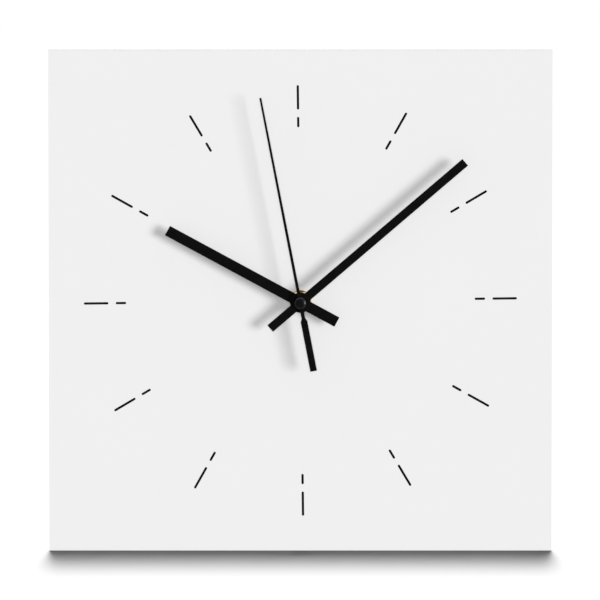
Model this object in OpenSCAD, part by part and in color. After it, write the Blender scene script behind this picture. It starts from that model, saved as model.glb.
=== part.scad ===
// Square wall clock: a slotted panel on a quartz movement, with three hands.
// Pieces are drawn lying on their backs, with z running forward from the wall, x to the
// right and y up as the clock is seen. stand() then turns z to the clock's front, -Y.

/* [Panel] */
// Side of the square front panel
panel_w = 300; // [240:1:400]
// Thickness of the front panel
panel_t = 3; // [2:0.5:6]
// Width of the edge break round the front of the panel
panel_break = 0.3; // [0.1:0.05:0.8]
// Thickness of the black board behind the slots
backing_t = 2; // [1:0.5:5]
// How far the backing board stops short of the panel's edge
backing_inset = 2; // [1:0.5:8]

/* [Hour marks] */
// From the panel's edge to the outer end of a mark at 12 o'clock
mark_margin = 20.9; // [8:0.1:40]
// Length of the outer slot of a mark
mark_long = 14.6; // [6:0.1:20]
// Length of the inner slot of a mark
mark_short = 6.2; // [3:0.1:10]
// Gap between the two slots of a mark
mark_gap = 4.4; // [2:0.1:8]
// Width of every slot
mark_w = 1.4; // [0.8:0.1:3]
// Turn of the ring of marks in the panel, anticlockwise
ring_turn = 0.7; // [-2:0.1:2]

/* [Hands] */
// Thickness of the hour and minute hands
hand_t = 0.6; // [0.4:0.1:1]
// Radius of the round boss on the hour and minute hands
hand_hub_r = 6; // [4.5:0.1:8]
// Width of the hour hand
hour_w = 6.3; // [4:0.1:9]
// Gap from the hour hand's tip to the marks' inner end
hour_tip_gap = 13.9; // [5:0.1:40]
// Length of the hour hand's tail
hour_tail = 24.7; // [8:0.1:30]
// Clockwise turn of the hour hand from 12 o'clock
hour_turn = 298.5; // [0:0.5:360]
// Width of the minute hand
minute_w = 5.1; // [3:0.1:8]
// Gap from the minute hand's tip to the marks' outer end
minute_tip_gap = 0.1; // [-5:0.1:20]
// Length of the minute hand's tail
minute_tail = 23.7; // [8:0.1:30]
// Clockwise turn of the minute hand from 12 o'clock
minute_turn = 49.4; // [0:0.1:360]
// Gap from the second hand's tip to the marks' outer end
second_tip_gap = 4.3; // [0:0.1:20]
// Width of the second hand at its tip
second_tip_w = 1.2; // [0.6:0.1:2]
// Width of the second hand at its hub
second_root_w = 1.8; // [0.8:0.1:2.5]
// Thickness of the second hand
second_t = 0.4; // [0.3:0.1:0.6]
// Length of the second hand's tail
second_tail = 41.4; // [20:0.1:50]
// Width of the counterweight on the second hand's tail
weight_w = 4; // [2:0.1:6]
// From the axis to the shoulders of the counterweight
weight_start = 9.3; // [7:0.1:15]
// Clockwise turn of the second hand from 12 o'clock
second_turn = 349; // [0:0.5:360]
// Radius of the domed cap on the second hand
cap_r = 3.4; // [2.5:0.1:5]
// Height of the domed cap
cap_h = 1.4; // [0.8:0.1:2.5]

/* [Spindle] */
// Radius of the threaded sleeve
sleeve_r = 3.9; // [3.7:0.1:5]
// Pitch of the sleeve's thread
thread_pitch = 0.75; // [0.5:0.05:1]
// Radius of the hour tube
hour_tube_r = 2.55; // [2.45:0.05:3.2]
// Radius of the minute tube
minute_tube_r = 1.6; // [1.2:0.05:1.75]
// Radius of the second arbor
second_arbor_r = 0.5; // [0.4:0.05:0.7]
// Radial clearance of every shaft in its bore
run_gap = 0.05; // [0.02:0.01:0.08]
// Radial clearance of holes that slip over the sleeve
slip_gap = 0.15; // [0.1:0.05:0.4]
// Thickness of the rubber washer
rubber_t = 1; // [0.5:0.1:2]
// Outer radius of the rubber washer
rubber_r = 9; // [6:0.5:14]
// Thickness of the brass washer
washer_t = 0.5; // [0.3:0.1:1]
// Outer radius of the brass washer
washer_r = 6.5; // [6:0.1:9]
// Distance across the flats of the hexagonal nut
nut_flats = 11; // [10.5:0.5:14]
// Thickness of the hexagonal nut
nut_t = 2.2; // [1.5:0.1:3]

/* [Case] */
// Wall thickness of the movement case
wall_t = 1.4; // [1:0.1:2]
// Thickness of the case's front
floor_t = 1.2; // [1:0.1:2]
// Thickness of the rear cover
cover_t = 1.2; // [1:0.1:2]
// Radius of the case's upright corners
corner_r = 3; // [1:0.5:5]
// Room from the spindle's axis to the battery bay
room_below = 10; // [9.5:0.1:14]
// Room from the spindle's axis to the inside of the case's top
room_above = 26.6; // [25:0.1:34]
// Radius of the hanger's hole
hanger_hole_r = 2.6; // [1.5:0.1:4]
// Thickness of the hanger
hanger_t = 2; // [1.2:0.1:3]
// Height of the hanger's hole over the top of the case
hanger_rise = 7; // [6:0.5:15]

/* [Battery] */
// Diameter of the battery
battery_d = 14.2; // [10:0.1:18]
// Length of the battery over its terminal
battery_l = 50.5; // [44:0.1:62]
// Clearance round the battery in its bay
battery_gap = 0.3; // [0.2:0.05:0.6]

/* [Gears] */
// Module of the gears between rotor and third wheel
train_module = 0.2; // [0.16:0.005:0.21]
// Module of the gears between second wheel and intermediate wheel
second_module = 0.22; // [0.18:0.005:0.25]
// Module of the gears between minute tube and minute wheel
motion_module = 0.27; // [0.26:0.005:0.32]
// Thinning of every tooth for backlash
tooth_play = 0.05; // [0.03:0.01:0.08]
// Thickness of every wheel's toothed disc
wheel_t = 0.6; // [0.4:0.05:0.7]

/* [Hidden] */
$fn = 96;
// Overshoot of a cut past the face it opens
cut = 1;
// How far a joined feature reaches into its neighbour or stands off it
lap = 0.2;
// Gap round parts that are pushed together, and end play of the arbors
fit_gap = 0.1;

// Levels of the case, forward from the wall
floor_z = battery_d + 2 * battery_gap;
case_z = floor_z + floor_t;
boss_z = cover_t + 0.8;
pivot_z = 0.7;

// Plan of the case
contact_t = 0.5;
positive_room = contact_t + 0.2;
negative_room = 2;
bay_l = battery_l + positive_room + negative_room;
bay_w = battery_d + 4 * battery_gap;
bay_wall_t = 1.2;
bay_top = -room_below - bay_wall_t;
inside_x = bay_l / 2;
outside_x = inside_x + wall_t;
case_top = room_above + wall_t;
case_bottom = bay_top - bay_w - wall_t;
battery_y = bay_top - bay_w / 2;
battery_z = battery_gap + battery_d / 2;
battery_left = -inside_x + positive_room;
terminal_l = 1.2;

// Battery contacts; a strip's levels are its lower and upper edge
can_r = battery_d / 2 - 0.2;
contact_low_z = 3;
contact_high_z = floor_z - 1.5;
positive_strip_z = [4, 9];
negative_strip_z = [9, 13];

// Stack on the threaded sleeve
thread_depth = 0.35;
backing_z = case_z + rubber_t;
panel_z = backing_z + backing_t;
face_z = panel_z + panel_t;
nut_z = face_z + washer_t;
sleeve_end_z = nut_z + nut_t + 1.3;
sleeve_bore_r = hour_tube_r + run_gap;
panel_hole_r = sleeve_r + slip_gap;
mark_outer_r = panel_w / 2 - mark_margin;
mark_inner_r = mark_outer_r - mark_long - mark_gap - mark_short;

// Levels of the hands
hour_z = sleeve_end_z + 4;
hour_end_z = hour_z + hand_t;
minute_z = hour_end_z + 1.8;
minute_end_z = minute_z + hand_t;
second_z = minute_end_z + 2.2;
second_end_z = second_z + second_t;
hour_collar_h = 2.5;
minute_collar_h = 1.3;
second_collar_h = 1.7;
hour_neck_r = hour_tube_r + 0.7;
minute_neck_r = minute_tube_r + 0.7;
second_neck_r = second_arbor_r + 0.35;

// Levels of the wheels
second_wheel_z = boss_z + 0.8;
intermediate_wheel_z = second_wheel_z + wheel_t + 0.8;
third_wheel_z = intermediate_wheel_z + wheel_t + 0.4;
plate_t = 1;
plate_z = third_wheel_z + wheel_t + 0.8;
plate_top_z = plate_z + plate_t;
tube_foot_z = plate_top_z + 0.2;
tube_flange_t = 0.4;
centre_wheel_z = tube_foot_z + tube_flange_t + run_gap;
clutch_z = centre_wheel_z + wheel_t + run_gap;
clutch_t = 0.4;
cannon_z = clutch_z + clutch_t + 0.2;
cannon_h = 1.9;
minute_wheel_z = cannon_z + 0.4;
hour_wheel_z = cannon_z + cannon_h + 0.5;
hour_disc_t = wheel_t + lap;
seat_r = minute_tube_r + 0.25;

// Teeth. Each wheel carries a number of teeth that gives whole ratios:
// rotor to second 30 to 1, second to centre 60 to 1, minute to hour 12 to 1.
rotor_teeth = 10;
intermediate_teeth = 60;
intermediate_pinion_teeth = 12;
second_teeth = 60;
second_pinion_teeth = 10;
third_teeth = 75;
third_pinion_teeth = 10;
centre_teeth = 80;
cannon_teeth = 16;
minute_teeth = 48;
minute_pinion_teeth = 12;
hour_teeth = 48;
setting_teeth = 12;
pressure_angle = 25;
addendum = 0.85;
dedendum = 1.15;

// Centre distances, and the modules of the gears that share them
third_reach = train_module * (second_pinion_teeth + third_teeth) / 2;
centre_module = 2 * third_reach / (third_pinion_teeth + centre_teeth);
intermediate_reach = second_module * (intermediate_pinion_teeth + second_teeth) / 2;
rotor_reach = train_module * (rotor_teeth + intermediate_teeth) / 2;
minute_reach = motion_module * (cannon_teeth + minute_teeth) / 2;
hour_module = 2 * minute_reach / (minute_pinion_teeth + hour_teeth);
setting_reach = motion_module * (minute_teeth + setting_teeth) / 2;

// Where the axes stand round the spindle
third_angle = 150;
intermediate_angle = 60;
rotor_angle = 20;
minute_angle = 0;
setting_angle = -10;
third_at = polar(third_reach, third_angle);
intermediate_at = polar(intermediate_reach, intermediate_angle);
rotor_at = intermediate_at + polar(rotor_reach, rotor_angle);
minute_at = polar(minute_reach, minute_angle);
setting_at = minute_at + polar(setting_reach, setting_angle);
spindle_at = [0, 0];

// Turn of each wheel that puts it in mesh with its neighbour
third_phase = mesh_turn(0, second_pinion_teeth, third_teeth, third_angle);
centre_phase = mesh_turn(0, third_pinion_teeth, centre_teeth, third_angle + 180);
intermediate_phase = mesh_turn(0, second_teeth, intermediate_pinion_teeth, intermediate_angle);
rotor_phase = mesh_turn(0, intermediate_teeth, rotor_teeth, rotor_angle);
minute_phase = mesh_turn(0, cannon_teeth, minute_teeth, minute_angle);
hour_phase = mesh_turn(0, minute_pinion_teeth, hour_teeth, minute_angle + 180);
setting_phase = mesh_turn(minute_phase, minute_teeth, setting_teeth, setting_angle);

// Arbors and bearings
pivot_r = 0.3;
arbor_r = 0.4;
pivot_hole_r = pivot_r + run_gap;
bearing_r = 1;
hub_r = 1.2;
stem_r = 0.8;
pivot_room = 0.3;
// Lightening holes, as shares of a wheel's pitch radius: the ring they lie on, and each one
hole_ring = 0.59;
hole_share = 0.2;
floor_pivot_z = floor_z + 0.3;
floor_boss_h = 1;

// Setting knob in its well
knob_r = 5;
knob_h = 2;
knob_z = 0.3;
well_r = knob_r + 0.5;
well_floor_z = knob_z + knob_h + 0.4;
well_wall_t = 0.8;

// Motor: stator, core and coil
magnet_r = 1.8;
magnet_h = 1.4;
stator_t = 0.8;
stator_z = boss_z + 0.3;
magnet_z = stator_z - lap;
stator_hole_r = magnet_r + 0.4;
stator_ring_r = magnet_r + 2.6;
stator_bar_w = 5;
stator_leg_w = 4;
stator_left = -11;
stator_right = 22;
stator_y = rotor_at[1] + 3.75;
notch_w = 0.8;
notch_l = 2.4;
notch_out = 0.6;
core_t = 1;
core_w = 3;
core_z = stator_z + stator_t;
core_y = room_above - 5.8;
bobbin_l = 22;
bobbin_x = (stator_left + stator_right - bobbin_l) / 2;
flange_w = 5;
flange_h = 4.6;
flange_t = 1;
bobbin_wall_t = 0.5;
coil_depth = 0.9;
coil_corner_r = 1.2;

// Circuit board
board_x = -inside_x + 1.4;
board_y = -8.5;
board_w = 11.2;
board_l = 33;
board_t = 1;
board_z = boss_z + 0.4;
board_hole_r = 0.8;
board_hole_in = 2;

// Train plate and the posts that carry it
plate_x = -20.5;
plate_right = inside_x - 1.6;
plate_y = -room_below + 0.8;
plate_l = room_above - 11.6 - plate_y;
plate_corner_r = 2;
pinion_room = 0.6;
post_r = 1.6;
peg_r = 0.7;
peg_rise = 0.4;
post_low = -6.5;
post_high = 12;
posts = [for (x = [plate_x + 2.5, plate_right - 2], y = [post_low, post_high]) [x, y]];

// Snap hooks of the rear cover: two in the side walls, two in the top
side_hook_y = 5;
top_hook_x = 15;
hook_w = 4;
hook_t = 1;
hook_h = 6;
barb = 0.9;
barb_h = 1.8;
barb_play = 0.3;

// Pegs of the hanger in the case's top
hanger_peg_x = 7;
hanger_peg_w = 2;
hanger_peg_z = 9;

function polar(r, angle) = r * [cos(angle), sin(angle)];

// Turn of a driven gear, from the driver's turn, both tooth counts and the
// direction from the driver's axis to the driven gear's axis
function mesh_turn(turn, driver, driven, angle) =
    angle + 180 - (360 / driven) * (0.5 - (angle - turn) * driver / 360);

function involute(angle) = tan(angle) * 180 / PI - angle;

// Half of a tooth's angle at radius r, constant below the base circle
function half_tooth(teeth, module_mm, r) =
    let (base_r = teeth * module_mm / 2 * cos(pressure_angle),
         slope = r > base_r ? acos(base_r / r) : 0)
    90 / teeth - tooth_play / (teeth * module_mm) * 180 / PI
        + involute(pressure_angle) - involute(slope);

// Radii at which a tooth's flank is drawn
function flank_radii(teeth, module_mm) =
    let (pitch_r = teeth * module_mm / 2,
         root_r = pitch_r - dedendum * module_mm,
         start_r = max(pitch_r * cos(pressure_angle), root_r + 0.05 * module_mm),
         tip_r = pitch_r + addendum * module_mm)
    [root_r, start_r, (start_r + tip_r) / 2, tip_r];

function gear_outline(teeth, module_mm, turn) =
    let (radii = flank_radii(teeth, module_mm))
    [for (tooth = [0:teeth - 1], side = [-1, 1], step = [0:3])
        let (r = radii[side < 0 ? step : 3 - step])
        polar(r, turn + tooth * 360 / teeth + side * half_tooth(teeth, module_mm, r))];

module stand() rotate([90, 0, 0]) children();

// A disc of radius r from one height to another, at a place in the plan
module disc(at, r, low, high) {
    translate([at[0], at[1], low])
        cylinder(r = r, h = high - low);
}

// A toothed disc with a round hole, at a place in the plan
module gear(at, teeth, module_mm, turn, bore_r, low, high) {
    translate([at[0], at[1], low])
        linear_extrude(high - low)
            difference() {
                polygon(gear_outline(teeth, module_mm, turn));
                circle(bore_r);
            }
}

// A wheel: a toothed disc lightened by a ring of round holes
module wheel(at, teeth, module_mm, turn, bore_r, low, holes) {
    pitch_r = teeth * module_mm / 2;
    difference() {
        gear(at, teeth, module_mm, turn, bore_r, low, low + wheel_t);
        for (i = [0:holes - 1])
            disc(at + polar(hole_ring * pitch_r, (i + 0.5) * 360 / holes), hole_share * pitch_r,
                low - cut, low + wheel_t + cut);
    }
}

// A rectangle with round corners, from its lower left corner
module round_rect(w, h, r) {
    translate([r, 0])
        square([w - 2 * r, h]);
    translate([0, r])
        square([w, h - 2 * r]);
    for (x = [r, w - r], y = [r, h - r])
        translate([x, y])
            circle(r);
}

module box(low, high) {
    translate(low)
        cube(high - low);
}

// A slot with round ends along +X, from one distance to another
module slot(from, to) {
    translate([from + mark_w / 2, -mark_w / 2])
        square([to - from - mark_w, mark_w]);
    for (x = [from + mark_w / 2, to - mark_w / 2])
        translate([x, 0])
            circle(d = mark_w);
}

module front_panel() color("whitesmoke") stand() {
    break_w = panel_break * sqrt(2);
    difference() {
        translate([0, 0, panel_z])
            linear_extrude(panel_t)
                difference() {
                    square(panel_w, center = true);
                    circle(panel_hole_r);
                    for (hour = [0:11])
                        rotate(30 * hour + ring_turn) {
                            slot(mark_outer_r - mark_long, mark_outer_r);
                            slot(mark_inner_r, mark_inner_r + mark_short);
                        }
                }
        for (side = [0:3])
            rotate(90 * side)
                translate([panel_w / 2, 0, face_z])
                    rotate([0, 45, 0])
                        cube([break_w, panel_w + 2 * cut, break_w], center = true);
    }
}

module backing_panel() color("black") stand() {
    side = panel_w - 2 * backing_inset;
    difference() {
        translate([0, 0, panel_z - backing_t / 2])
            cube([side, side, backing_t], center = true);
        disc(spindle_at, panel_hole_r, backing_z - cut, panel_z + cut);
    }
}

module rubber_washer() color("dimgray") stand() {
    difference() {
        disc(spindle_at, rubber_r, case_z, backing_z);
        disc(spindle_at, panel_hole_r, case_z - cut, backing_z + cut);
    }
}

module brass_washer() color("darkgoldenrod") stand() {
    difference() {
        disc(spindle_at, washer_r, face_z, nut_z);
        disc(spindle_at, panel_hole_r, face_z - cut, nut_z + cut);
    }
}

module hex_nut() color("goldenrod") stand() {
    corner = nut_flats / 2 / cos(30);
    bevel = corner - nut_flats / 2;
    difference() {
        intersection() {
            translate([0, 0, nut_z])
                cylinder(r = corner, h = nut_t, $fn = 6);
            translate([0, 0, nut_z])
                rotate_extrude()
                    polygon([
                        [0, 0], [corner, 0], [corner, nut_t - bevel],
                        [corner - bevel, nut_t], [0, nut_t]
                    ]);
        }
        disc(spindle_at, sleeve_r + run_gap, nut_z - cut, nut_z + nut_t + cut);
    }
}

// Outline of the case, with its upright corners rounded
module case_plan(low_y, high_y) {
    translate([-outside_x, low_y])
        round_rect(2 * outside_x, high_y - low_y, corner_r);
}

// The sleeve's thread, drawn as rings
module sleeve() {
    turns = floor((sleeve_end_z - case_z - thread_pitch) / thread_pitch);
    root_r = sleeve_r - thread_depth;
    start_z = case_z + thread_pitch / 2;
    rotate_extrude()
        polygon(concat(
            [[0, floor_z], [sleeve_r, floor_z], [sleeve_r, start_z]],
            [for (i = [0:turns - 1], edge = [0, 1])
                [edge == 0 ? root_r : sleeve_r, start_z + thread_pitch * (i + (edge + 1) / 2)]],
            [[root_r, sleeve_end_z], [0, sleeve_end_z]]
        ));
}

module front_case() color([0.12, 0.12, 0.12]) stand() {
    difference() {
        union() {
            difference() {
                linear_extrude(case_z)
                    case_plan(case_bottom, case_top);
                box([-inside_x, -room_below, -cut], [inside_x, room_above, floor_z]);
                box([-inside_x, case_bottom + wall_t, -cut], [inside_x, bay_top, floor_z]);
                box([-outside_x - cut, bay_top, -cut], [outside_x + cut, case_top + cut, cover_t]);
            }
            sleeve();
            for (at = posts) {
                disc(at, post_r, plate_top_z, floor_z);
                disc(at, peg_r, plate_z - peg_rise, plate_top_z);
            }
            for (at = [third_at, minute_at, setting_at])
                disc(at, bearing_r, floor_z - floor_boss_h, floor_z);
        }
        disc(spindle_at, sleeve_bore_r, floor_z - cut, sleeve_end_z + cut);
        for (at = [third_at, minute_at, setting_at])
            disc(at, pivot_hole_r, floor_z - floor_boss_h - cut, floor_pivot_z + pivot_room);
        for (side = [-1, 1]) {
            hook_window([side * inside_x, side_hook_y], 90 - 90 * side);
            hook_window([side * top_hook_x, room_above], 90);
            hanger_peg(side, room_above - cut, case_top + cut, fit_gap);
        }
        contact_way(-inside_x, -inside_x + contact_t, positive_strip_z);
        contact_way(inside_x - contact_t, inside_x, negative_strip_z);
    }
}

// Way for a battery contact's strip through the wall between bay and works;
// levels are the strip's lower and upper edge
module contact_way(left, right, levels) {
    box([left - fit_gap, bay_top - cut, levels[0] - fit_gap],
        [right + fit_gap, -room_below + cut, levels[1] + fit_gap]);
}

// Window in a case wall for one snap hook; at is on the wall's inner face
module hook_window(at, angle) {
    translate([at[0], at[1], 0])
        rotate(angle)
            box([-run_gap, -hook_w / 2 - lap, cover_t + hook_h - barb_h - barb_play],
                [wall_t + cut, hook_w / 2 + lap, cover_t + hook_h + barb_play]);
}

// Snap hook on the rear cover: a tongue along the wall with a barb in the window
module hook(at, angle) {
    translate([at[0], at[1], 0])
        rotate(angle) {
            box([-hook_t - fit_gap, -hook_w / 2, cover_t - lap],
                [-fit_gap, hook_w / 2, cover_t + hook_h]);
            box([-fit_gap - lap, -hook_w / 2, cover_t + hook_h - barb_h],
                [barb, hook_w / 2, cover_t + hook_h - barb_play]);
        }
}

module rear_cover() color([0.15, 0.15, 0.15]) stand() {
    board_posts = [for (y = [board_y + 5, board_y + board_l - 5]) [board_x + board_w / 2, y]];
    stator_posts = [for (x = [stator_left, stator_right - stator_leg_w]) [x + stator_leg_w / 2, stator_y]];
    difference() {
        union() {
            linear_extrude(cover_t)
                intersection() {
                    case_plan(case_bottom, case_top);
                    translate([-outside_x, bay_top])
                        square([2 * outside_x, case_top - bay_top]);
                }
            disc(setting_at, well_r + well_wall_t, 0, well_floor_z + well_wall_t);
            for (at = [spindle_at, third_at, intermediate_at, rotor_at])
                disc(at, bearing_r, cover_t - lap, boss_z);
            for (at = board_posts)
                disc(at, bearing_r, cover_t - lap, board_z);
            for (at = stator_posts)
                disc(at, bearing_r, cover_t - lap, stator_z);
            for (side = [-1, 1]) {
                hook([side * inside_x, side_hook_y], 90 - 90 * side);
                hook([side * top_hook_x, room_above], 90);
            }
        }
        disc(setting_at, well_r, -cut, well_floor_z);
        disc(setting_at, stem_r + run_gap, 0, well_floor_z + well_wall_t + cut);
        for (at = [spindle_at, third_at, intermediate_at, rotor_at])
            disc(at, pivot_hole_r, pivot_z - lap, boss_z + cut);
    }
}

module train_plate() color("gainsboro") stand() {
    difference() {
        translate([plate_x, plate_y, plate_z])
            linear_extrude(plate_t)
                round_rect(plate_right - plate_x, plate_l, plate_corner_r);
        for (at = posts)
            disc(at, peg_r + run_gap, plate_z - cut, plate_top_z + cut);
        disc(spindle_at, second_arbor_r + run_gap, plate_z - cut, plate_top_z + cut);
        for (at = [intermediate_at, rotor_at, minute_at])
            disc(at, pivot_hole_r, plate_z - cut, plate_top_z + cut);
        disc(third_at, third_pinion_teeth * centre_module / 2 + pinion_room,
            plate_z - cut, plate_top_z + cut);
        disc(setting_at, setting_teeth * motion_module / 2 + pinion_room,
            plate_z - cut, plate_top_z + cut);
    }
}

module hanger() color([0.12, 0.12, 0.12]) stand() {
    eye = [0, case_top + hanger_rise];
    eye_r = hanger_hole_r + 3;
    foot_w = 20;
    foot_top = case_top + 1.4;
    foot_h = 12;
    difference() {
        union() {
            box([-foot_w / 2, case_top, 0], [foot_w / 2, foot_top, foot_h]);
            linear_extrude(hanger_t)
                polygon([
                    [-foot_w / 2, case_top], [foot_w / 2, case_top], [foot_w / 2, foot_top],
                    [eye_r, eye[1]], [-eye_r, eye[1]], [-foot_w / 2, foot_top]
                ]);
            disc(eye, eye_r, 0, hanger_t);
            for (side = [-1, 1])
                hanger_peg(side, room_above, case_top + lap, 0);
        }
        disc(eye, hanger_hole_r, -cut, hanger_t + cut);
    }
}

// Peg that holds the hanger in the case's top, on one side, grown by a gap all round
module hanger_peg(side, low_y, high_y, gap) {
    half = hanger_peg_w / 2 + gap;
    box([side * hanger_peg_x - half, low_y, hanger_peg_z - half],
        [side * hanger_peg_x + half, high_y, hanger_peg_z + half]);
}

module circuit_board() color("darkgreen") stand() {
    difference() {
        box([board_x, board_y, board_z], [board_x + board_w, board_y + board_l, board_z + board_t]);
        for (y = [board_y + board_hole_in, board_y + board_l - board_hole_in])
            disc([board_x + board_w / 2, y], board_hole_r, board_z - cut, board_z + board_t + cut);
    }
}

module circuit_chip() color([0.05, 0.05, 0.05]) stand() {
    blob_r = 3;
    blob_h = 1.2;
    blob_y = 2;
    ball_r = (blob_r * blob_r + blob_h * blob_h) / (2 * blob_h);
    translate([board_x + board_w / 2, blob_y, board_z + board_t])
        rotate_extrude()
            intersection() {
                translate([0, blob_h - ball_r])
                    circle(ball_r);
                square([blob_r + 1, blob_h + 1]);
            }
}

module quartz_crystal() color("silver") stand() {
    can_r = 1;
    can_l = 6;
    can_y = 10;
    lead_x = 0.4;
    lead_r = 0.15;
    lead_l = 1.8;
    translate([board_x + board_w / 2, can_y, board_z + board_t + can_r])
        rotate([-90, 0, 0]) {
            cylinder(r = can_r, h = can_l);
            for (side = [-1, 1])
                translate([side * lead_x, 0, -lead_l])
                    cylinder(r = lead_r, h = lead_l + lap);
        }
}

module coil_core() color("silver") stand() {
    box([stator_left, core_y - core_w / 2, core_z],
        [stator_right, core_y + core_w / 2, core_z + core_t]);
}

module coil_bobbin() color("ivory") stand() {
    middle_z = core_z + core_t / 2;
    tube_y = core_w / 2 + bobbin_wall_t;
    tube_z = core_t / 2 + bobbin_wall_t;
    difference() {
        union() {
            box([bobbin_x, core_y - tube_y, middle_z - tube_z],
                [bobbin_x + bobbin_l, core_y + tube_y, middle_z + tube_z]);
            for (x = [bobbin_x, bobbin_x + bobbin_l - flange_t])
                box([x, core_y - flange_w / 2, middle_z - flange_h / 2],
                    [x + flange_t, core_y + flange_w / 2, middle_z + flange_h / 2]);
        }
        box([bobbin_x - cut, core_y - core_w / 2, core_z],
            [bobbin_x + bobbin_l + cut, core_y + core_w / 2, core_z + core_t]);
    }
}

module coil_winding() color("peru") stand() {
    middle_z = core_z + core_t / 2;
    tube_y = core_w + 2 * bobbin_wall_t;
    tube_z = core_t + 2 * bobbin_wall_t;
    wound_y = flange_w - 2 * fit_gap;
    wound_z = tube_z + 2 * coil_depth;
    translate([bobbin_x + flange_t, core_y, middle_z])
        rotate([90, 0, 90])
            linear_extrude(bobbin_l - 2 * flange_t)
                difference() {
                    translate([-wound_y / 2, -wound_z / 2])
                        round_rect(wound_y, wound_z, coil_corner_r);
                    square([tube_y, tube_z], center = true);
                }
}

module stator() color("lightslategray") stand() {
    leg_top = core_y + core_w / 2;
    bar_low = stator_y - stator_bar_w / 2;
    translate([0, 0, stator_z])
        linear_extrude(stator_t)
            difference() {
                union() {
                    translate([stator_left, bar_low])
                        square([stator_right - stator_left, stator_bar_w]);
                    for (x = [stator_left, stator_right - stator_leg_w])
                        translate([x, bar_low])
                            square([stator_leg_w, leg_top - bar_low]);
                    translate(rotor_at)
                        circle(stator_ring_r);
                }
                translate(rotor_at)
                    circle(stator_hole_r);
                for (side = [-1, 1])
                    translate(rotor_at + [0, side * (stator_ring_r + notch_out)])
                        square([notch_w, notch_l], center = true);
            }
}

module positive_contact() color("silver") stand() {
    left = -inside_x;
    right = left + contact_t;
    pad = 4;
    box([left, battery_y - pad, contact_low_z], [right, battery_y + pad, contact_high_z]);
    box([left, battery_y, positive_strip_z[0]], [right, board_y + 2.5, positive_strip_z[1]]);
}

module negative_contact() color("silver") stand() {
    right = inside_x;
    left = right - contact_t;
    near = battery_left + battery_l + 0.3;
    pad = 5;
    leaf_t = 0.4;
    leaf_z = 4.5;
    leaf_w = 6;
    foot_x = board_x + 4;
    foot_w = 3;
    shelf_z = 10;
    strip_y = -room_below;
    strip_top = strip_y + leaf_t;
    board_top = board_z + board_t;
    high_z = negative_strip_z[1];
    box([left, battery_y - pad, contact_low_z], [right, battery_y + pad, contact_high_z]);
    box([left, battery_y, negative_strip_z[0]], [right, strip_y + 2, high_z]);
    box([foot_x, strip_y, shelf_z], [left, strip_top, high_z]);
    box([foot_x, strip_y, board_top], [foot_x + foot_w, strip_top, shelf_z]);
    box([foot_x, strip_y, board_top], [foot_x + foot_w, board_y + 2, board_top + leaf_t]);
    translate([0, 0, leaf_z])
        linear_extrude(leaf_w)
            for (side = [-1, 1])
                leaf(side, left, near, leaf_t);
}

// Half of the bowed leaf that presses on the battery, above or below its axis
module leaf(side, left, near, leaf_t) {
    root_y = 4.5;
    tip_y = 1;
    thin = 0.7;
    translate([0, battery_y])
        polygon([
            [left, side * root_y], [near, side * tip_y], [near, 0], [near + leaf_t, 0],
            [near + leaf_t, side * (tip_y - 0.2)], [left, side * (root_y - thin)]
        ]);
}

module battery_axis() {
    translate([battery_left, battery_y, battery_z])
        rotate([0, 90, 0])
            children();
}

module battery_can() color("silver") stand() {
    button_r = 2.75;
    button_break = 0.15;
    round_in = 0.5;
    battery_axis()
        rotate_extrude()
            polygon([
                [0, 0], [button_r - button_break, 0], [button_r, button_break], [button_r, terminal_l],
                [can_r - round_in, terminal_l], [can_r, terminal_l + round_in],
                [can_r, battery_l - round_in], [can_r - round_in, battery_l], [0, battery_l]
            ]);
}

module battery_sleeve() color("steelblue") stand() {
    bare = 0.9;
    low = terminal_l + bare;
    battery_axis()
        translate([0, 0, low])
            difference() {
                cylinder(d = battery_d, h = battery_l - low - bare);
                translate([0, 0, -cut])
                    cylinder(r = can_r, h = battery_l);
            }
}

module rotor_magnet() color("dimgray") stand() {
    difference() {
        disc(rotor_at, magnet_r, magnet_z, magnet_z + magnet_h);
        disc(rotor_at, arbor_r, 0, plate_z);
    }
}

module rotor_pinion() color("ivory") stand() {
    low = intermediate_wheel_z - lap;
    disc(rotor_at, pivot_r, pivot_z, plate_top_z);
    disc(rotor_at, arbor_r, boss_z + fit_gap, plate_z - lap);
    disc(rotor_at, bearing_r, magnet_z + magnet_h, low);
    gear(rotor_at, rotor_teeth, train_module, rotor_phase, pivot_r, low, low + wheel_t + 2 * lap);
}

module intermediate_wheel() color("white") stand() {
    at = intermediate_at;
    low = intermediate_wheel_z;
    disc(at, pivot_r, pivot_z, plate_top_z);
    disc(at, arbor_r, boss_z + fit_gap, plate_z - lap);
    gear(at, intermediate_pinion_teeth, second_module, intermediate_phase, pivot_r,
        second_wheel_z - lap, low);
    wheel(at, intermediate_teeth, train_module, 0, pivot_r, low, 4);
}

module second_wheel() color("white") stand() {
    at = spindle_at;
    low = second_wheel_z;
    disc(at, pivot_r, pivot_z, low);
    disc(at, second_arbor_r, boss_z + fit_gap, second_z);
    disc(at, hub_r, low - lap, low + wheel_t + lap);
    gear(at, second_pinion_teeth, train_module, 0, pivot_r,
        third_wheel_z - lap, third_wheel_z + wheel_t + lap);
    wheel(at, second_teeth, second_module, 0, pivot_r, low, 4);
}

module third_wheel() color("white") stand() {
    at = third_at;
    disc(at, pivot_r, pivot_z, floor_pivot_z);
    disc(at, arbor_r, boss_z + fit_gap, floor_z - floor_boss_h - fit_gap);
    disc(at, hub_r, third_wheel_z - 2 * lap, third_wheel_z);
    gear(at, third_pinion_teeth, centre_module, 0, pivot_r,
        plate_top_z + lap, centre_wheel_z + wheel_t + lap);
    wheel(at, third_teeth, train_module, third_phase, pivot_r, third_wheel_z, 4);
}

module centre_wheel() color("khaki") stand() {
    wheel(spindle_at, centre_teeth, centre_module, centre_phase, seat_r + run_gap, centre_wheel_z, 5);
}

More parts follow.
